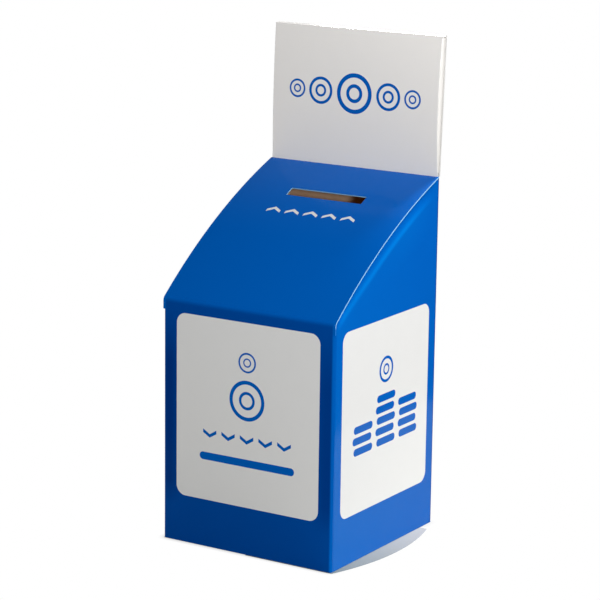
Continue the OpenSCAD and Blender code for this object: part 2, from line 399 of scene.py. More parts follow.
def boardMaterial(name, base, contrast, roughness, bump, below=None, glow=None):
    material, tree, shader, sheet, solid = startMaterial(name)
    fibre = groupNode(tree, "fibre", {"Vector": solid, "Contrast": contrast})
    colour = base
    if below:
        above = ramp(tree, split(tree, solid)[2], *lipEnd)
        colour = mixColour(tree, above, below, base)
    # painted light: the board glows faintly
    if glow:
        shader.inputs["Emission Color"].default_value = glow
        shader.inputs["Emission Strength"].default_value = 1.0
    colour = mixColour(tree, 1.0, colour, fibre.outputs["Shade"], "MULTIPLY")
    plug(tree, shader.inputs["Base Color"], colour)
    low, high = roughness - grain["roughSpread"], roughness + grain["roughSpread"]
    rough = ramp(tree, fibre.outputs["Height"], 0.2, 0.8, low, high)
    plug(tree, shader.inputs["Roughness"], rough)
    shader.inputs["Specular IOR Level"].default_value = grain["specular"]
    addBump(tree, shader, fibre.outputs["Height"], bump)
    return material


labelPanel = {"halfWidth": 63.1 * mm, "low": 36.7 * mm, "high": 178.3 * mm, "radius": 8.0 * mm}


def panelMark():
    middle = (labelPanel["low"] + labelPanel["high"]) / 2
    half = (labelPanel["high"] - labelPanel["low"]) / 2
    return ("white", "panel", {
        "Centre": (0.0, middle, 0.0), "Half Size": (labelPanel["halfWidth"], half, 0.0),
        "Radius": labelPanel["radius"]})


# The other marks take millimetres
def barMark(x, y, halfWidth, halfHeight):
    return ("blue", "panel", {
        "Centre": (x * mm, y * mm, 0.0), "Half Size": (halfWidth * mm, halfHeight * mm, 0.0),
        "Radius": halfHeight * mm})


def ringMark(x, y, radius, line):
    return ("blue", "ring", {"Centre": (x * mm, y * mm, 0.0), "Radius": radius * mm, "Line": line * mm})


def chevronRow(y, fall, colour="blue"):
    shape = {"Reach": 6.0 * mm, "Fall": fall, "Line": 2.8 * mm}
    places = [(x * mm, y * mm, 0.0) for x in (-33, -16.5, 0, 16.5, 33)]
    return [(colour, "chevron", {"Centre": place, **shape}) for place in places]


def coinMarks(x, y, size, rim, inner):
    # A coin's rim and the ring inside it
    return [ringMark(x, y, size, rim * size), ringMark(x, y, 0.42 * size, inner * size)]


# Coins that fall to a slot on the front, piles of coins on the sides, a row of coins on the header
coinAndSlot = chevronRow(87, -0.6) + [barMark(0, 71, 42, 3.0)]
for y, size in ((148, 7.0), (119, 14.0)):
    coinAndSlot += coinMarks(0, y, size, 0.21, 0.16)
coinPiles = [ringMark(0, 139, 9, 2.2), ringMark(0, 139, 3.6, 1.6)]
for x, coins in ((-33, 3), (0, 5), (33, 4)):
    for level in range(coins):
        coinPiles.append(barMark(x + 0.8 * (-1) ** level, 84 + 8.4 * level, 13.5, 2.9))
coinRow = []
for x, size in ((-52, 6.5), (-30.5, 9.5), (0, 14.0), (30.5, 9.5), (52, 6.5)):
    coinRow += coinMarks(x, 57, size, 0.24, 0.2)
towardSlot = chevronRow(103.5, 0.6, "white")

inks = {
    "front": printMaterial("frontPrint", ink["shadedBlue"], [panelMark()] + coinAndSlot, change="paintedShade"),
    "side": printMaterial("sidePrint", ink["blue"], [panelMark()] + coinPiles, change="stretched"),
    "plain": printMaterial("plainPrint", ink["blue"]),
    "lid": printMaterial("lidPrint", ink["blue"], towardSlot, lidWear),
    "header": printMaterial("headerPrint", ink["headerWhite"], coinRow, headerWear, None),
    "blank": printMaterial("blankPrint", ink["headerWhite"], [], headerWear, None),
    "coated": boardMaterial("coatedBoard", ink["coated"], 0.25, 0.6, 0.02 * mm),
    "inside": boardMaterial("bareBoard", ink["inside"], 0.9, 0.85, 0.06 * mm, glow=ink["through"]),
    "cut": boardMaterial("cutEdge", ink["cut"], 0.5, 0.8, 0.05 * mm),
    "cutBlue": boardMaterial(
        "cutEdgeBlue", ink["cutBlue"], 0.3, 0.7, 0.04 * mm, below=ink["stretchedBlue"]),
}
print("materials made:", len(inks))


# Geometry nodes

def bowedPanelTree():
    # A panel that bows between two creases, with a row of faces left out for a slot
    tree, given, result = makeTree("bowedPanel", "GeometryNodeTree", {
        "Geometry": "Geometry", "Foot": "Vector", "Head": "Vector", "Foot Inward": "Vector",
        "Head Inward": "Vector", "Width": 0.15, "Bow": 0.007, "Slot Length": 0.068, "Slot Width": 0.0095,
        "Slot Place": 0.76, "Columns": 40, "Rows": 60, "Print": "Material",
    }, {"Geometry": "Geometry"})
    tree.is_modifier = True
    left, right, low, high = 0.3, 0.7, 0.7, 0.8  # shares of the columns and rows that the slot takes
    grid = put(tree, "GeometryNodeMeshGrid", {
        "Size X": 1.0, "Size Y": 1.0, "Vertices X": total(tree, given["Columns"], 1.0),
        "Vertices Y": total(tree, given["Rows"], 1.0)}).outputs["Mesh"]
    place = split(tree, tree.nodes.new("GeometryNodeInputPosition").outputs[0])
    u, v = total(tree, place[0], 0.5), total(tree, place[1], 0.5)
    inSlot = product(
        tree, calc(tree, "LESS_THAN", calc(tree, "ABSOLUTE", place[0]), (right - left) / 2),
        calc(tree, "GREATER_THAN", v, low), calc(tree, "LESS_THAN", v, high))
    opened = made(tree, "GeometryNodeDeleteGeometry", {"Geometry": grid, "Selection": inSlot}, domain="FACE")
    beside = product(tree, minus(tree, given["Width"], given["Slot Length"]), 0.5)
    across = total(
        tree, ramp(tree, u, 0.0, left, 0.0, beside), ramp(tree, u, left, right, 0.0, given["Slot Length"]),
        ramp(tree, u, right, 1.0, 0.0, beside), product(tree, given["Width"], -0.5))
    chord = vec(tree, "SUBTRACT", given["Head"], given["Foot"])
    length = vec(tree, "LENGTH", chord)
    halfSlot = calc(tree, "DIVIDE", product(tree, given["Slot Width"], 0.5), length)
    slotLow = minus(tree, given["Slot Place"], halfSlot)
    slotHigh = total(tree, given["Slot Place"], halfSlot)
    along = total(
        tree, ramp(tree, v, 0.0, low, 0.0, slotLow),
        ramp(tree, v, low, high, 0.0, minus(tree, slotHigh, slotLow)),
        ramp(tree, v, high, 1.0, 0.0, minus(tree, 1.0, slotHigh)))
    outward = vec(tree, "NORMALIZE", vec(tree, "CROSS_PRODUCT", (1.0, 0.0, 0.0), chord))
    fourBows = product(tree, given["Bow"], 4.0)
    rise = product(tree, fourBows, along, minus(tree, 1.0, along))
    onChord = vec(tree, "ADD", given["Foot"], scaled(tree, chord, along))
    onBow = vec(tree, "ADD", onChord, scaled(tree, outward, rise))
    spot = vec(tree, "ADD", onBow, joined(tree, across, 0.0, 0.0))
    slope = product(tree, fourBows, minus(tree, 1.0, product(tree, along, 2.0)))
    tangent = vec(tree, "ADD", chord, scaled(tree, outward, slope))
    normal = vec(tree, "NORMALIZE", vec(tree, "CROSS_PRODUCT", (1.0, 0.0, 0.0), tangent))
    inward = scaled(tree, normal, -1.0)
    for test, limit, turned in (
            ("LESS_THAN", 0.0001, "Foot Inward"), ("GREATER_THAN", 0.9999, "Head Inward")):
        sockets = {"Switch": calc(tree, test, along, limit), "False": inward, "True": given[turned]}
        inward = made(tree, "GeometryNodeSwitch", sockets, input_type="VECTOR")
    sheet = joined(tree, across, product(tree, along, length), 0.0)
    mapped = made(tree, "GeometryNodeStoreNamedAttribute", {
        "Geometry": opened, "Name": "UVMap", "Value": sheet}, data_type="FLOAT2", domain="CORNER")
    marked = made(tree, "GeometryNodeStoreNamedAttribute", {
        "Geometry": mapped, "Name": "inward", "Value": inward,
    }, data_type="FLOAT_VECTOR", domain="POINT")
    moved = made(tree, "GeometryNodeSetPosition", {"Geometry": marked, "Position": spot})
    real = made(tree, "GeometryNodeRealizeInstances", {"Geometry": moved})
    painted = made(tree, "GeometryNodeSetMaterial", {"Geometry": real, "Material": given["Print"]})
    plug(tree, result["Geometry"], painted)
    return tree


def boardThicknessTree():
    # The board's other face and its cut edges, behind a printed skin
    tree, given, result = makeTree("boardThickness", "GeometryNodeTree", {
        "Geometry": "Geometry", "Thickness": 0.001, "Print": "Material", "Inside": "Material",
        "Cut": "Material",
    }, {"Geometry": "Geometry"})
    tree.is_modifier = True
    inward = made(tree, "GeometryNodeInputNamedAttribute", {"Name": "inward"}, data_type="FLOAT_VECTOR")
    offset = scaled(tree, inward, given["Thickness"])
    extruded = put(tree, "GeometryNodeExtrudeMesh", {
        "Mesh": given["Geometry"], "Offset": offset, "Offset Scale": 1.0, "Individual": False,
    }, mode="FACES").outputs
    backed = made(tree, "GeometryNodeSetMaterial", {
        "Geometry": extruded["Mesh"], "Selection": extruded["Top"], "Material": given["Inside"]})
    edged = made(tree, "GeometryNodeSetMaterial", {
        "Geometry": backed, "Selection": extruded["Side"], "Material": given["Cut"]})
    turned = made(tree, "GeometryNodeFlipFaces", {"Mesh": edged})
    printed = made(tree, "GeometryNodeSetMaterial", {
        "Geometry": given["Geometry"], "Material": given["Print"]})
    both = put(tree, "GeometryNodeJoinGeometry", {"Geometry": printed})
    tree.links.new(turned, both.inputs["Geometry"])
    welded = made(tree, "GeometryNodeMergeByDistance", {"Geometry": both.outputs[0], "Distance": 1e-6})
    real = made(tree, "GeometryNodeRealizeInstances", {"Geometry": welded})
    plug(tree, result["Geometry"], real)
    return tree


bowedPanel, boardThickness = bowedPanelTree(), boardThicknessTree()
print("geometry node trees made")


# Skins and finishing

def skinObject(name, patches, outlines=(), stretch=None):
    points, inwards, stretches, lookup, faces, sheetPlaces = [], [], [], {}, [], []

    def pointIndex(point, inward, share=0.0):
        key = tuple(np.round(point, 7))
        if key not in lookup:
            lookup[key] = len(points)
            points.append(point)
            inwards.append(inward)
            stretches.append(share)
        return lookup[key]

    for place, sheet, inward in patches:
        rows, columns = place.shape[:2]
        shares = np.zeros((rows, columns)) if stretch is None else stretch
        index = [[pointIndex(place[r, c], inward[r, c], shares[r, c]) for c in range(columns)]
                 for r in range(rows)]
        for r in range(rows - 1):
            for c in range(columns - 1):
                corners = ((r, c), (r, c + 1), (r + 1, c + 1), (r + 1, c))
                face = [index[a][b] for a, b in corners]
                if len(set(face)) == 4:
                    faces.append(face)
                    sheetPlaces += [sheet[a, b] for a, b in corners]
    for place, sheet, inward in outlines:
        faces.append([pointIndex(p, i) for p, i in zip(place, inward)])
        sheetPlaces += list(sheet)
    mesh = bpy.data.meshes.new(name)
    mesh.from_pydata([tuple(p) for p in points], [], faces)
    layer = mesh.uv_layers.new(name="UVMap")
    layer.data.foreach_set("uv", np.array(sheetPlaces, np.float32).ravel())
    mark = mesh.attributes.new("inward", "FLOAT_VECTOR", "POINT")
    mark.data.foreach_set("vector", np.array(inwards, np.float32).ravel())
    # share of painted highlight at each point, read by the side print
    if stretch is not None:
        mesh.attributes.new("stretch", "FLOAT", "POINT").data.foreach_set("value", stretches)
    return newObject(name + "Skin", mesh)


def finishBoard(skin, name, body, slot, nodes, outer, inner="inside"):
    cut = inks["cutBlue" if slot == "blue_print" else "cut"]
    for material in (inks[outer], inks[inner], cut):
        skin.data.materials.append(material)
    addNodes(skin, boardThickness, {
        "Thickness": board["thickness"], "Print": inks[outer], "Inside": inks[inner], "Cut": cut})
    bevel = skin.modifiers.new("edgeRound", "BEVEL")
    bevel.width, bevel.segments = board["edgeRound"], board["edgeSegments"]
    bevel.limit_method, bevel.angle_limit = "ANGLE", math.radians(board["edgeAngle"])
    bevel.miter_outer = "MITER_ARC"
    bevel.show_viewport = bevel.show_render = False
    depsgraph = bpy.context.evaluated_depsgraph_get()
    # The node tree reorders the materials, so the rounding finds its print by name
    slots = [m.name if m else "" for m in skin.evaluated_get(depsgraph).data.materials]
    bevel.material = slots.index(inks[outer].name)
    bevel.show_viewport = bevel.show_render = True
    depsgraph.update()
    mesh = bpy.data.meshes.new_from_object(skin.evaluated_get(depsgraph), depsgraph=depsgraph)
    mesh.name = name
    while None in list(mesh.materials):
        mesh.materials.pop(index=list(mesh.materials).index(None))
    bpy.data.objects.remove(skin)
    if "inward" in mesh.attributes:
        mesh.attributes.remove(mesh.attributes["inward"])
    mesh.polygons.foreach_set("use_smooth", [True] * len(mesh.polygons))
    mesh.set_sharp_from_angle(angle=math.radians(board["sharpAngle"]))
    piece = newObject(name, mesh)
    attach(piece, body)
    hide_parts(*nodes)
    print(name, "made,", len(mesh.polygons), "faces")
    return piece


def spaced(*stops):
    # Even steps between stops: each stop after the first is (place, steps)
    places = [stops[0]]
    for place, steps in stops[1:]:
        places += list(np.linspace(places[-1], place, steps + 1)[1:])
    return places


def gridNormals(place):
    alongColumns = np.gradient(place, axis=1)
    alongRows = np.gradient(place, axis=0)
    normal = np.cross(alongColumns, alongRows)
    return normal / np.linalg.norm(normal, axis=2, keepdims=True)


def cornerPath():
    # Plan of the front panel with its two upright folds: x, y, inward x, inward y, run along the sheet
    half, r, lap = carton["halfWidth"], carton["cornerRadius"], carton["cornerLap"]
    flat = half - r
    turns = np.linspace(0, math.pi / 2, carton["cornerSteps"] + 1)
    right = [(flat + r * math.sin(a), -flat - r * math.cos(a), -math.sin(a), math.cos(a), flat + r * a)
             for a in turns]
    right.append((half, -flat + lap, -1.0, 0.0, flat + r * math.pi / 2 + lap))
    middle = [(x, -half, 0.0, 1.0, x) for x in spaced(-flat + strip, (flat - strip, 14))]
    left = [(-x, y, -ix, iy, -s) for x, y, ix, iy, s in reversed(right)]
    return left + middle + right


def patchOf(rows, columns, rule):
    # rule gives a point, its place on the sheet and its inward direction
    cells = [[rule(row, column) for column in columns] for row in rows]
    return [np.array([[cell[i] for cell in line] for line in cells]) for i in range(3)]


def wallPatch(heights, sign):
    # Rows up a panel that has the corner path as its plan; a sign of -1 puts it at the back
    return patchOf(heights, cornerPath(), lambda z, p: (
        (sign * p[0], sign * p[1], z), (p[4], z), (sign * p[2], sign * p[3], 0.0)))


# Front wall and bend

frontWall = {
    "lipHeight": 179.18903 * mm, "overhang": 0.6 * mm, "bendRadius": 5.0 * mm,
    "bendCentre": (-70.0 * mm, 185.18903 * mm), "bendEnd": math.radians(130.2536), "bendSteps": 10,
}


def makeFrontWall():
    lip, half = frontWall["lipHeight"], carton["halfWidth"]
    flat, wide = half - carton["cornerRadius"], half + frontWall["overhang"]
    lower = wallPatch(spaced(0.0, (strip, 1), (lip - strip, 8), (lip, 1)), 1.0)
    shared = set(np.round([p[0] for p in cornerPath() if p[3] == 1.0 and p[2] == 0.0], 9))
    columns = [-wide, -wide + strip] + sorted(shared | {-flat, flat}) + [wide - strip, wide]
    (bendY, bendZ), r = frontWall["bendCentre"], frontWall["bendRadius"]
    path = [(-half, z, 1.0, 0.0, z) for z in spaced(lip, (lip + strip, 1), (bendZ, 3))]
    for a in np.linspace(math.pi, frontWall["bendEnd"], frontWall["bendSteps"] + 1)[1:]:
        y, z, run = bendY + r * math.cos(a), bendZ + r * math.sin(a), bendZ + r * (math.pi - a)
        path.append((y, z, -math.cos(a), -math.sin(a), run))
    upper = patchOf(path, columns, lambda p, x: ((x, p[0], p[1]), (x, p[4]), (0.0, p[2], p[3])))
    skin = skinObject("frontWall", [lower, upper])
    return finishBoard(skin, "frontWall", "box", "blue_print", ["front_wall"], "front")


# Side walls with the curved fold and the flap under the lid

sideWall = {
    "frontEdge": -72.0 * mm, "frontEdgeAboveLip": -73.6 * mm, "backEdge": 72.0 * mm,
    "columns": ((-71.0 * mm, 1), (-57.0 * mm, 7), (45.0 * mm, 17), (71.0 * mm, 13)),  # y, steps
    "bulgeRadius": 30.0 * mm, "bulgeTurn": math.radians(22), "foldRadius": 1.8 * mm,
    "flapReach": 18.0 * mm, "lidGap": 1.3 * mm,  # board and play between the lid's top and the flap's
    "fadeFront": 16.0 * mm, "fadeBack": 26.0 * mm, "lipStep": 0.02 * mm,
}

# Painted highlight on the side print: a lighter band below the lid, where the bulge turns up, and a faint
# lighter patch near the front
stretched = {
    "centre": ((-72 * mm, 6 * mm), (-60 * mm, 7.5 * mm), (-25 * mm, 10.5 * mm), (72 * mm, 10.5 * mm)),
    "strength": ((-73 * mm, 0.2), (-60 * mm, 0.9), (30 * mm, 1.0), (68 * mm, 0.0)),
    "frontHighlight": ((-73 * mm, 0.2), (60 * mm, 0.0)), "frontHighlightBelow": ((4 * mm, 0.0), (8 * mm, 1.0)),
    "width": 3.4 * mm, "sharpness": 1.6,
}


def lidHeight(y, drop):
    # Height of an arc that runs a drop below the lid's outer face
    centreY, centreZ = carton["lidCentre"]
    arc = centreZ + math.sqrt((carton["lidRadius"] - drop) ** 2 - (y - centreY) ** 2)
    bendY, bendZ = frontWall["bendCentre"]
    if y < bendY:
        inner = frontWall["bendRadius"] - drop
        arc = min(arc, bendZ + math.sqrt(max(inner ** 2 - (y - bendY) ** 2, 0.0)))
    return arc


def stretchShare(y, below):
    def at(value, name):
        return np.interp(value, *zip(*stretched[name]))

    band = np.exp(-stretched["sharpness"] * ((below - at(y, "centre")) / stretched["width"]) ** 2)
    return np.maximum(band * at(y, "strength"), at(y, "frontHighlight") * at(below, "frontHighlightBelow"))


def makeSideWall(side):
    radius, fold, fullTurn = sideWall["bulgeRadius"], sideWall["foldRadius"], sideWall["bulgeTurn"]
    fullRise = (radius - fold) * math.sin(fullTurn) + fold
    half, lip = carton["halfWidth"], frontWall["lipHeight"]

    def section(bulge):
        # Rise above the flat wall and x, up the bulge, over the fold and along the flap
        turn = fullTurn * bulge
        start = fullRise - fold * (1 - math.sin(turn))
        rows = [(start * math.sin(a) / math.sin(fullTurn), half - bulge * radius * (1 - math.cos(a)))
                for a in np.linspace(0, fullTurn, 9)[1:]]
        centreRise, centreX = start - fold * math.sin(turn), rows[-1][1] - fold * math.cos(turn)
        for a in np.linspace(turn, math.pi / 2, 11)[1:]:
            rows.append((centreRise + fold * math.sin(a), centreX + fold * math.cos(a)))
        return rows + [(fullRise, centreX - share * sideWall["flapReach"]) for share in (0.1, 0.5, 1.0)]

    ys = spaced(sideWall["frontEdge"], *sideWall["columns"], (sideWall["backEdge"], 1))
    place, sheet, stretch = [], [], []
    for column, y in enumerate(ys):
        fades = np.clip([(y - ys[0]) / sideWall["fadeFront"], (ys[-1] - y) / sideWall["fadeBack"]], 0, 1)
        edgeY = sideWall["frontEdgeAboveLip"] if column == 0 else y
        top = lidHeight(edgeY, sideWall["lidGap"])
        steep = math.sin(math.atan2(top - carton["lidCentre"][1], edgeY - carton["lidCentre"][0]))
        flatTop = top - fullRise / steep
        points = [(half, share * flatTop) for share in spaced(0.0, (0.004, 1), (1.0, 10))]
        bulge = np.prod(fades ** 2 * (3 - 2 * fades))
        points += [(x, top - (fullRise - rise) / steep) for rise, x in section(bulge)]
        if column == 0:
            nearest = min(range(len(points)), key=lambda i: abs(points[i][1] - lip))
            points[nearest] = (half, lip - sideWall["lipStep"])
            points[nearest + 1] = (half, lip + sideWall["lipStep"])
        run, line = 0.0, []
        for i, (x, z) in enumerate(points):
            run += math.hypot(x - points[i - 1][0], z - points[i - 1][1]) if i else 0.0
            line.append((x, edgeY if z > lip else y, z, run))
        line = np.array(line)
        place.append(line[:, :3])
        sheet.append(line[:, (1, 3)])
        # painted highlight share down this column
        stretch.append(stretchShare(y, top - line[:, 2]))
    place, sheet = np.array(place).transpose(1, 0, 2), np.array(sheet).transpose(1, 0, 2)
    stretch = np.array(stretch).T
    if side < 0:
        place, stretch = place[:, ::-1] * (-1.0, 1.0, 1.0), stretch[:, ::-1]
        sheet = sheet[:, ::-1] * (-1.0, 1.0)
    hand = "right" if side > 0 else "left"
    skin = skinObject(hand + "Wall", [(place, sheet, -gridNormals(place))], stretch=stretch)
    nodes = [hand + "_wall", hand + "_lid_flap"]
    return finishBoard(skin, hand + "Wall", "box", "blue_print", nodes, "side")


# Back wall and the header's backing

def makeBackWall():
    top = carton["backCrease"]
    patch = wallPatch(spaced(0.0, (strip, 1), (top - strip, 12), (top, 1)), -1.0)
    flat = np.abs(patch[0][0, :, 0]) < carton["halfWidth"] - carton["cornerRadius"]
    patch[2][0, flat] = (0.0, -1.0, 1.0)  # mitred against the base
    skin = skinObject("backWall", [patch])
    return finishBoard(skin, "backWall", "box", "blue_print", ["back_wall"], "plain")


def backingFace(z):
    # Outer face of the header's backing
    return carton["halfWidth"] + (z - carton["backCrease"]) * carton["backingLean"]


def makeHeaderBack():
    half, low, high = carton["halfWidth"], carton["backCrease"], carton["headerTop"]
    columns = spaced(half, (half - strip, 1), (-half + strip, 12), (-half, 1))
    rows = spaced(low, (low + strip, 1), (high - strip, 10), (high, 1))
    patch = patchOf(rows, columns, lambda z, x: ((x, backingFace(z), z), (x, z - low), (0.0, -1.0, 0.0)))
    skin = skinObject("headerBack", [patch])
    return finishBoard(skin, "headerBack", "box", "white_print", ["header_back"], "blank", "coated")


# Lid

lid = {
    "width": 151.2 * mm, "bow": 7.298 * mm, "slotLength": 67.0 * mm, "slotWidth": 9.5 * mm,
    "slotBack": 43.0 * mm, "footInward": (0.0, 0.64617, -0.76319),
    "headInward": (0.0, 1.0490, -0.6760),
}


def makeLid():
    foot, head = Vector((0, *carton["lidFoot"])), Vector((0, *carton["lidHead"]))
    centre = Vector((0, *carton["lidCentre"]))
    turn = math.atan2(head.z - centre.z, head.y - centre.y) + lid["slotBack"] / carton["lidRadius"]
    slot = centre + carton["lidRadius"] * Vector((0, math.cos(turn), math.sin(turn)))
    share = (slot - foot).dot(head - foot) / (head - foot).length_squared
    skin = newObject("lidPanelSkin", bpy.data.meshes.new("lidPanelSkin"))
    addNodes(skin, bowedPanel, {
        "Foot": foot, "Head": head, "Foot Inward": lid["footInward"], "Head Inward": lid["headInward"],
        "Width": lid["width"], "Bow": lid["bow"], "Slot Length": lid["slotLength"],
        "Slot Width": lid["slotWidth"], "Slot Place": share, "Columns": 40, "Rows": 60,
        "Print": inks["lid"]})
    return finishBoard(skin, "lidPanel", "lid", "blue_print", ["lid_panel"], "lid")


# Header: face, side returns and spine from one sheet

header = {
    "halfWidth": 74.5 * mm, "fold": 0.45 * mm, "foldSteps": 6, "bowLeft": 1.2 * mm, "bowRight": 3.4 * mm,
    "head": (74.9734 * mm, carton["headerTop"]), "returnFoot": 3.0 * mm, "returnHead": 1.4 * mm,
    "gap": 0.12 * mm, "spineShares": (0.3, 0.65, 1.0), "spineRun": 4 * mm,
    "tuckDepth": 18.0 * mm, "tuckInset": 5.0 * mm,
}


def headerFacePoint(x, z):
    # y of the header's face; it bows more towards its right edge
    (footY, footZ), (headY, headZ) = carton["lidHead"], header["head"]
    t = (z - footZ) / (headZ - footZ)
    share = x / (2 * header["halfWidth"]) + 0.5
    bow = header["bowLeft"] + share * (header["bowRight"] - header["bowLeft"])
    return footY + t * (headY - footY) - 4 * bow * t * (1 - t)


def makeHeader():
    half, fold = header["halfWidth"], header["fold"]
    inner = half - fold
    low, high = carton["lidHead"][1], header["head"][1]
    returnLow, returnHigh = low + header["returnFoot"], high - header["returnHead"]
    zs = spaced(low, (low + strip, 1), (returnLow, 2), (returnHigh, 30), (high - fold, 1))
    core = spaced(-inner, (-inner + strip, 1), (inner - strip, 24), (inner, 1))
    turns = np.linspace(0, math.pi / 2, header["foldSteps"] + 1)

    def patch(points, sheets, foot=None):
        place = np.array(points)
        inward = -gridNormals(place)
        if foot is not None:
            inward[0] = foot
        return place, np.array(sheets), inward

    patches = []
    columns = [-half] + core + [half]
    facePoints = [[(x, headerFacePoint(x, z), z) for x in columns] for z in zs]
    faceSheets = [[(x, z - low) for x in columns] for z in zs]
    place, sheet, inward = patch(facePoints, faceSheets, lid["headInward"])
    first, last = zs.index(returnLow), len(zs) - 2
    patches.append((place[:, 1:-1], sheet[:, 1:-1], inward[:, 1:-1]))
    for rows in (slice(0, first + 1), slice(last, None)):
        for ends in (slice(None, 2), slice(-2, None)):
            patches.append((place[rows, ends], sheet[rows, ends], inward[rows, ends]))
    for side in (1, -1):
        points, sheets = [], []
        for z in zs[first:last + 1]:
            faceY = headerFacePoint(side * inner, z)
            row = [(side * (inner + fold * math.sin(a)), faceY + fold * (1 - math.cos(a)), z)
                   for a in turns]
            endY = backingFace(z) - board["thickness"] - header["gap"]
            row += [(side * half, y, z) for y in np.linspace(row[-1][1], endY, 5)[1:]]
            points.append(row if side > 0 else row[::-1])
            run = [side * (inner + 0.5 * fold * i) for i in range(len(row))]
            sheets.append([(s, z - low) for s in (run if side > 0 else run[::-1])])
        patches.append(patch(points, sheets))
    points, sheets = [], []
    for a in turns:
        back, up = fold * (1 - math.cos(a)), fold * math.sin(a)
        points.append([(x, headerFacePoint(x, high - fold) + back, high - fold + up) for x in columns])
        sheets.append([(x, high - fold - low + fold * a) for x in columns])
    endY = backingFace(high) - board["thickness"] - header["gap"]
    for share in header["spineShares"]:
        points.append([(x, y + share * (endY - y), z) for x, y, z in points[len(turns) - 1]])
        sheets.append([(x, high - low + share * header["spineRun"]) for x in columns])
    patches.append(patch(points, sheets))
    skin = skinObject("headerShell", patches)
    return finishBoard(skin, "headerShell", "header", "white_print", [
        "header_front", "header_right_return", "header_left_return", "header_spine"], "header")


# Flat flaps

def roundedOutline(points, radii, steps=6):
    # A convex outline that runs anticlockwise, with its own radius at each corner
    outline = []
    for i, (x, y) in enumerate(points):
        here, before, after = Vector((x, y)), Vector(points[i - 1]), Vector(points[(i + 1) % len(points)])
        if radii[i] == 0:
            outline.append(here)
            continue
        comeIn, goOut = (here - before).normalized(), (after - here).normalized()
        first, second = Vector((comeIn.y, -comeIn.x)), Vector((goOut.y, -goOut.x))
        centre = here - radii[i] * (first + second) / (1 + first.dot(second))
        sweep = first.angle(second)
        for step in range(steps + 1):
            a = math.atan2(first.y, first.x) + sweep * step / steps
            outline.append(centre + radii[i] * Vector((math.cos(a), math.sin(a))))
    return outline


def flatPiece(name, outline, place, inward, body, nodes, outer="coated", slot="bare_board"):
    # place turns an outline point into a point in space; inward gives its direction through the board
    points = [Vector(place(p)) for p in outline]
    inwards = [Vector(inward(p)) for p in outline]
    normal = Vector((0, 0, 0))
    for i, point in enumerate(points):
        normal += point.cross(points[(i + 1) % len(points)])
    sheets = [(p[0], p[1]) for p in outline]
    if normal.dot(sum(inwards, Vector((0, 0, 0)))) > 0:
        points, inwards, sheets = points[::-1], inwards[::-1], sheets[::-1]
    skin = skinObject(name, [], [(points, sheets, inwards)])
    return finishBoard(skin, name, body, slot, nodes, outer)


base = {
    "half": 73.5 * mm, "slitLength": 9.0 * mm, "slitDepth": 1.8 * mm, "tabHalf": 72.0 * mm,
    "tabHeight": 20.0 * mm, "tabLean": math.radians(80), "flapRadius": 7.0 * mm, "dustReach": 58.0 * mm,
    "dustHalf": 71.0 * mm, "dustTaper": 10.227 * mm, "wallInside": 74.0 * mm,
}
glueFlap = {"root": -73.0 * mm, "bevel": 16.0 / 3 * mm, "low": 6.0 * mm, "high": 249.313 * mm}


def makeFlaps():
    h, s, d = base["half"], base["slitLength"], base["slitDepth"]
    mitre = (0.0, 1 / math.tan(base["tabLean"] / 2), 1.0)
    crease = carton["halfWidth"]
    outline = [(s - h, -h), (h - s, -h), (h - s, d - h), (h, d - h),
               (h, crease), (-h, crease), (-h, d - h), (s - h, d - h)]

    def baseInward(p):
        if p[1] == -h:
            return mitre
        return (0.0, -1.0, 1.0) if p[1] == crease else (0.0, 0.0, 1.0)

    flatPiece("basePanel", outline, lambda p: (p[0], p[1], 0.0), baseInward, "base", ["base_panel"])
    t, up = base["tabHalf"], base["tabHeight"]
    lean = (math.cos(base["tabLean"]), math.sin(base["tabLean"]))
    radii = [0, 0, base["flapRadius"], base["flapRadius"]]
    outline = roundedOutline([(-t, 0), (t, 0), (t, up), (-t, up)], radii)
    flatPiece("tuckTab", outline, lambda p: (p[0], -h + p[1] * lean[0], p[1] * lean[1]),
              lambda p: mitre if p[1] == 0 else (0.0, lean[1], -lean[0]), "tuck_tab", ["base_tuck_tab"])
    x, reach, half, taper = base["wallInside"], base["dustReach"], base["dustHalf"], base["dustTaper"]
    corners = [(x, -half), (x, half), (x - reach, half), (x - reach, taper - half)]
    outline = roundedOutline(corners, radii)
    for side, name in ((1, "right"), (-1, "left")):
        flatPiece(name + "DustFlap", outline, lambda p: (side * p[0], p[1], board["thickness"]),
                  lambda p: (0.0, 0.0, 1.0), name + "_dust", [name + "_dust_flap"])
    root, bevel, low, high = glueFlap["root"], glueFlap["bevel"], glueFlap["low"], glueFlap["high"]
    tip = root + 3 * bevel
    corners = [(root, low), (tip, low + bevel), (tip, high - bevel), (root, high)]
    outline = roundedOutline(corners, [0, bevel, bevel, 0])
    flatPiece("glueSeamFlap", outline, lambda p: (p[0], base["wallInside"], p[1]),
              lambda p: (0.0, -1.0, 0.0), "box", ["glue_seam_flap"])
    wide, high = header["halfWidth"] - header["tuckInset"], header["head"][1] - board["thickness"]
    deep = high - header["tuckDepth"]
    outline = [(-wide, deep), (wide, deep), (wide, high), (-wide, high)]
    flatPiece("headerTuckFlap", outline,
              lambda p: (p[0], backingFace(p[1]) - board["thickness"] - header["gap"], p[1]),
              lambda p: (0.0, -1.0, 0.0), "header", ["header_tuck_flap"], "blank", "white_print")


makeFrontWall()
makeSideWall(1)
makeSideWall(-1)
backSheets = [makeBackWall(), makeHeaderBack()]
makeLid()
makeHeader()
makeFlaps()


# Floor, world, lamps, camera

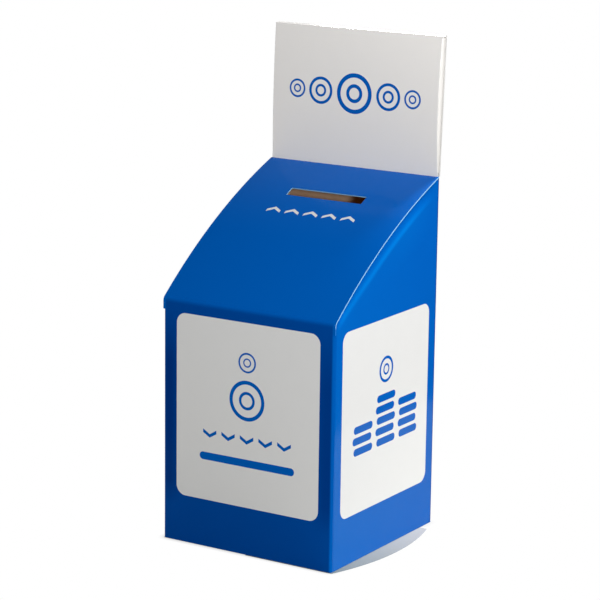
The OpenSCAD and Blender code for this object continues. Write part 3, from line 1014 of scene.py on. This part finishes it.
studio = {
    "floorCentre": (-0.281, 0.256), "floorRadius": 0.55, "floorSides": 96,
    "floorDrop": 0.1 * mm, "floorPaper": (0.44, 0.43, 0.40, 1.0),
    "shadeNear": (0.165, 0.195, 0.207, 1.0), "shadeFar": (0.355, 0.36, 0.372, 1.0),
    "shadeTurn": (-75 * mm, 60 * mm), "shadeCentre": (-107.7 * mm, -2.3 * mm, 0.0),
    "shadeRadius": 198.0 * mm, "shadeBack": 57.0 * mm, "paintFrontShade": -76.0 * mm,
    "contactReach": 6 * mm, "contactShade": 0.35,
    "sky": 0.07, "ground": 0.36, "horizon": (-0.1, 0.1), "glossyDark": 0.015, "glossyBackdrop": 0.38,
    "backdropDepth": (0.19, 0.46), "backdropHeight": (0.35, 0.6), "aim": (0.0, 0.0, 0.18),
}
lampSettings = {  # place, power, size
    "keyLamp": ((0.275, 1.24, 1.05), 54.0, 0.5),
    "backLamp": ((-0.5, 1.2, 0.55), 10.0, 0.4),
    "fillLamp": ((0.33, -0.1, 0.88), 2.35, 0.4),
    "frontLamp": ((1.0, -1.05, 0.5), 11.2, 0.16),
}


def makeFloor():
    sides, r = studio["floorSides"], studio["floorRadius"]
    (x, y), z = studio["floorCentre"], -studio["floorDrop"]
    turns = [2 * math.pi * i / sides for i in range(sides)]
    points = [(x + r * math.cos(a), y + r * math.sin(a), z) for a in turns]
    mesh = bpy.data.meshes.new("studioFloor")
    mesh.from_pydata(points, [], [range(sides)])
    floor = newObject("studioFloor", mesh)
    material = bpy.data.materials.new("studioFloor")
    material.use_nodes = True
    tree = material.node_tree
    tree.nodes.clear()
    glow = made(tree, "ShaderNodeEmission", {"Color": (1.0, 1.0, 1.0, 1.0), "Strength": 1.0})
    place = tree.nodes.new("ShaderNodeTexCoord").outputs["Object"]
    away = vec(tree, "LENGTH", vec(tree, "SUBTRACT", place, studio["shadeCentre"]))
    across, along = split(tree, place)[:2]
    shade = product(
        tree, calc(tree, "LESS_THAN", away, studio["shadeRadius"]),
        calc(tree, "GREATER_THAN", across, 0.0), calc(tree, "LESS_THAN", along, studio["shadeBack"]),
        calc(tree, "GREATER_THAN", along, studio["paintFrontShade"]))
    fromMiddle = split(tree, vec(tree, "ABSOLUTE", place))
    under = product(tree, *[calc(tree, "LESS_THAN", fromMiddle[i], carton["halfWidth"]) for i in (0, 1)])
    near = put(tree, "ShaderNodeAmbientOcclusion", {"Distance": studio["contactReach"]}, samples=8)
    contact = ramp(tree, near.outputs["AO"], 0.5, 1.0, studio["contactShade"], 0.0)
    unseen = minus(tree, 1.0, tree.nodes.new("ShaderNodeLightPath").outputs["Is Camera Ray"])
    farther = ramp(tree, along, *studio["shadeTurn"])
    grey = mixColour(tree, farther, studio["shadeNear"], studio["shadeFar"])
    paper = made(tree, "ShaderNodeBsdfDiffuse", {
        "Color": mixColour(tree, unseen, grey, studio["floorPaper"])})
    real = unseen
    for share in (shade, under, contact):
        real = calc(tree, "MAXIMUM", real, share)
    mixed = made(tree, "ShaderNodeMixShader", {0: real, 1: glow, 2: paper})
    put(tree, "ShaderNodeOutputMaterial", {"Surface": mixed})
    mesh.materials.append(material)


def makeWorld():
    world = bpy.data.worlds.new("studio")
    bpy.context.scene.world = world
    world.use_nodes = True
    tree = world.node_tree
    tree.nodes.clear()
    path = tree.nodes.new("ShaderNodeLightPath").outputs
    direction = split(tree, tree.nodes.new("ShaderNodeTexCoord").outputs["Generated"])
    grey = ramp(tree, direction[2], *studio["horizon"], studio["ground"], studio["sky"])
    behind = product(
        tree, ramp(tree, direction[1], *studio["backdropDepth"]),
        ramp(tree, direction[2], *studio["backdropHeight"]))
    backdrop = ramp(tree, behind, 0.0, 1.0, studio["glossyDark"], studio["glossyBackdrop"])
    grey = total(tree, grey, product(tree, path["Is Glossy Ray"], minus(tree, backdrop, grey)))
    bright = product(tree, path["Is Camera Ray"], minus(tree, 1.0, grey))
    light = made(tree, "ShaderNodeBackground", {
        "Color": (1.0, 1.0, 1.0, 1.0), "Strength": total(tree, grey, bright)})
    put(tree, "ShaderNodeOutputWorld", {"Surface": light})


def makeLamp(name, place, power, size):
    data = bpy.data.lights.new(name, "AREA")
    data.energy, data.size, data.shape = power, size, "DISK"
    lamp = newObject(name, data)
    lamp.location = place
    lamp.rotation_euler = (Vector(studio["aim"]) - Vector(place)).to_track_quat("-Z", "Y").to_euler()
    return lamp


def flagOff(lamp, pieces):
    # The lamp behind is flagged off the sheets that face it
    kept = bpy.data.collections.new("flaggedOff")
    lamp.light_linking.receiver_collection = kept
    for piece in pieces:
        kept.objects.link(piece)
    for entry in kept.collection_objects:
        entry.light_linking.link_state = "EXCLUDE"


cameraView = {
    "lens": 151.348, "sensor": 36.0, "place": (0.989972, -1.578890, 0.605780),
    "right": (0.845151, 0.534374, 0.012812), "up": (-0.129144, 0.180870, 0.974992),
    "back": (0.518693, -0.825670, 0.221872),
}


def makeCamera():
    data = bpy.data.cameras.new("camera")
    data.lens, data.sensor_width = cameraView["lens"], cameraView["sensor"]
    camera = newObject("camera", data)
    turn = Matrix([cameraView["right"], cameraView["up"], cameraView["back"]]).transposed().to_4x4()
    camera.matrix_world = Matrix.Translation(cameraView["place"]) @ turn
    bpy.context.scene.camera = camera


makeFloor()
makeWorld()
lamps = {name: makeLamp(name, *settings) for name, settings in lampSettings.items()}
flagOff(lamps["keyLamp"], backSheets)
makeCamera()
bpy.context.scene.view_settings.view_transform = "Standard"
print("studio made")
